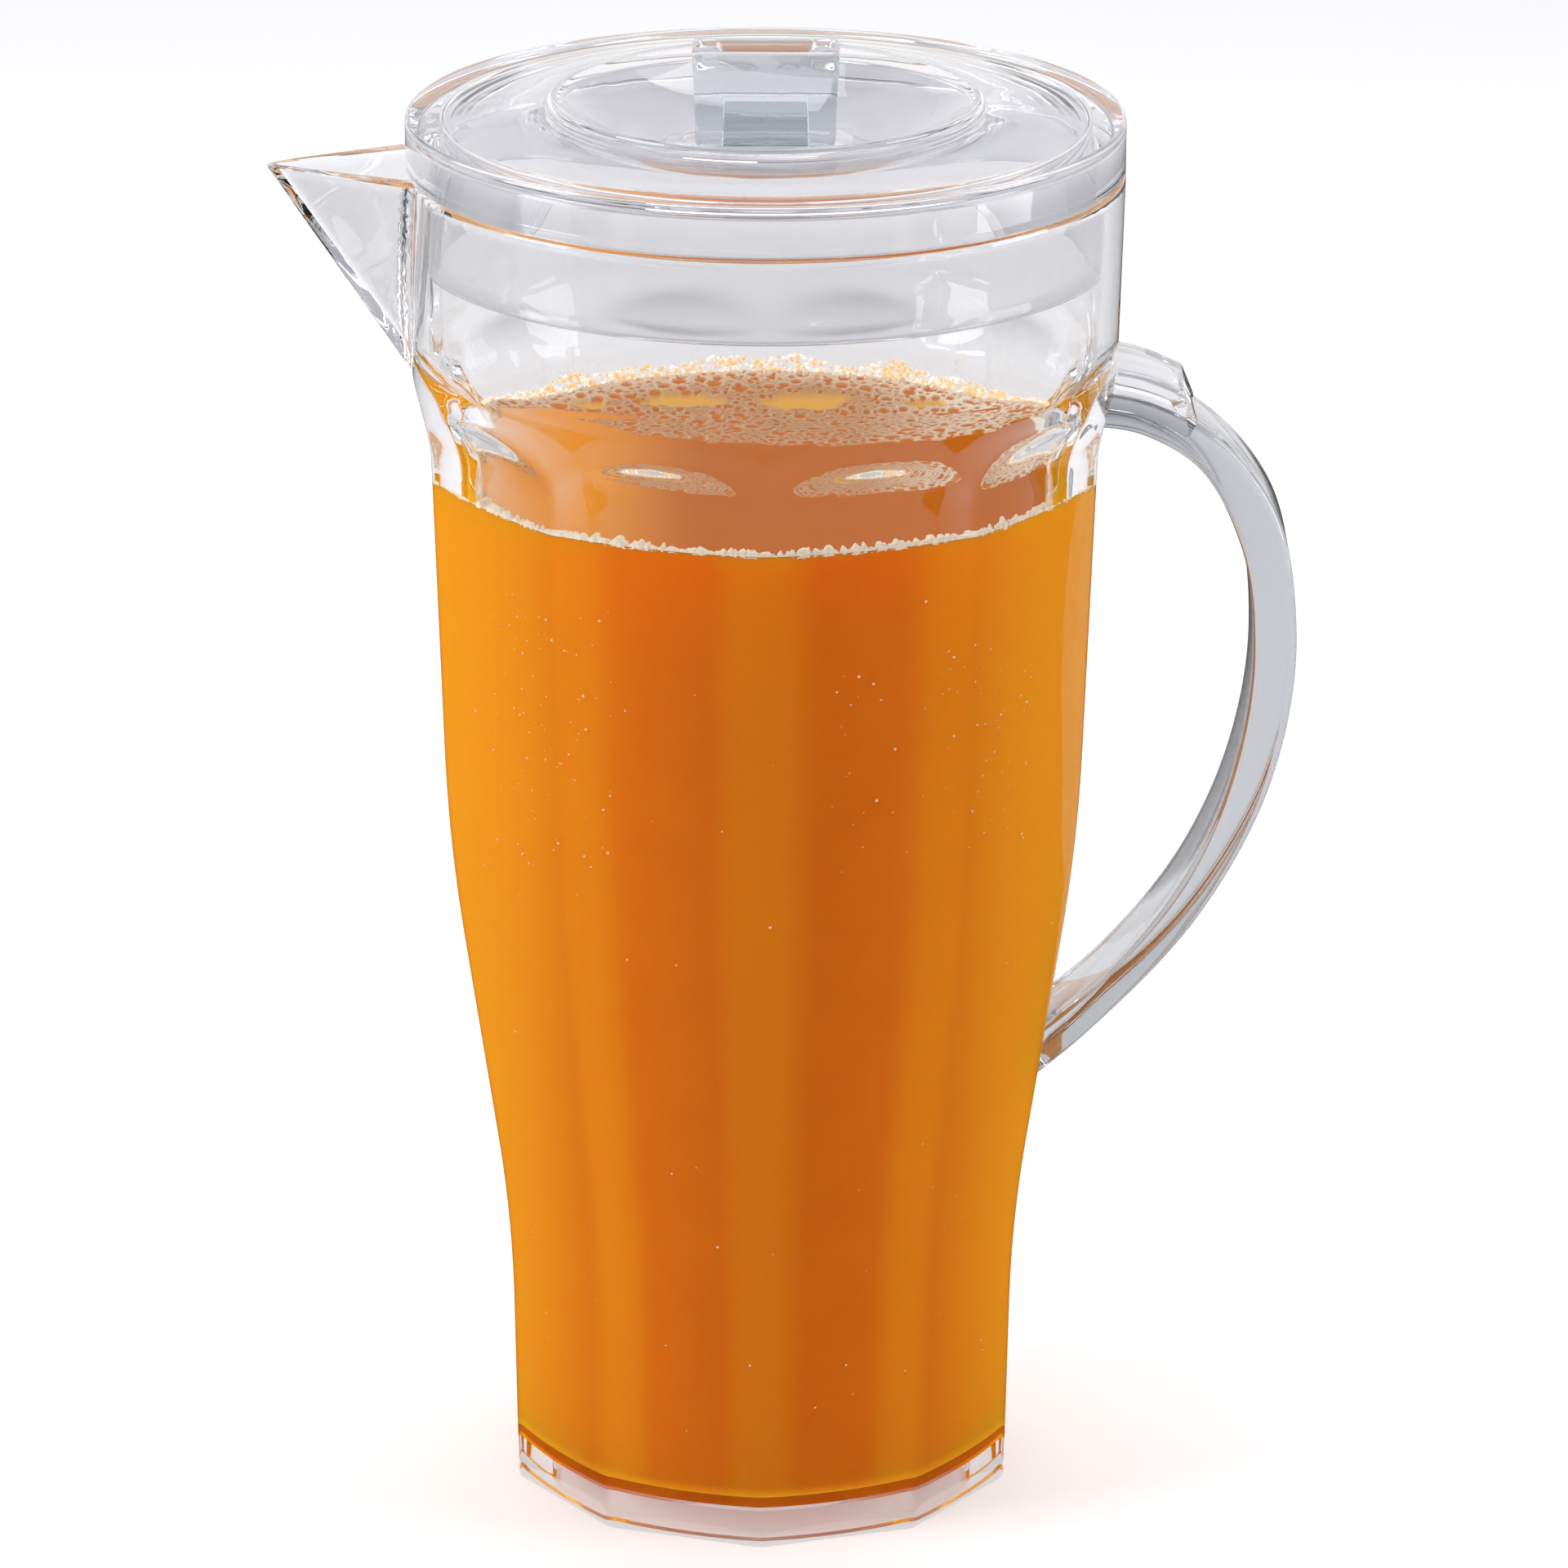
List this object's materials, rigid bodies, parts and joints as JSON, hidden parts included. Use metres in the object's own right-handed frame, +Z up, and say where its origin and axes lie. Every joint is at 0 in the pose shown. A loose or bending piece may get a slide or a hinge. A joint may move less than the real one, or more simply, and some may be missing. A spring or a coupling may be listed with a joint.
{
  "type": "juice jug",
  "caption": "Clear plastic jug: faceted body under a round collar, open V spout, strap handle, and a plug lid with a dish, a grip and a slotted strainer.",
  "frame": {"origin": "centre of the foot, on the table, below the axis of the collar and the lid", "axes": "+Z up along the axis of the collar and the lid; -X towards the spout; +X towards the handle"},
  "size_m": [0.1799, 0.1248, 0.262],
  "materials": {
    "clear_plastic": "glossy, clear"
  },
  "bodies": {
    "jug": {"jug_body": "clear_plastic", "handle": "clear_plastic"},
    "lid": {"lid": "clear_plastic", "lid_knob": "clear_plastic"}
  },
  "joints": [
    {"name": "lid_lift", "type": "slide", "parent": "jug", "child": "lid", "axis": [0, 0, 1], "range_m": [0, 0.06]}
  ]
}
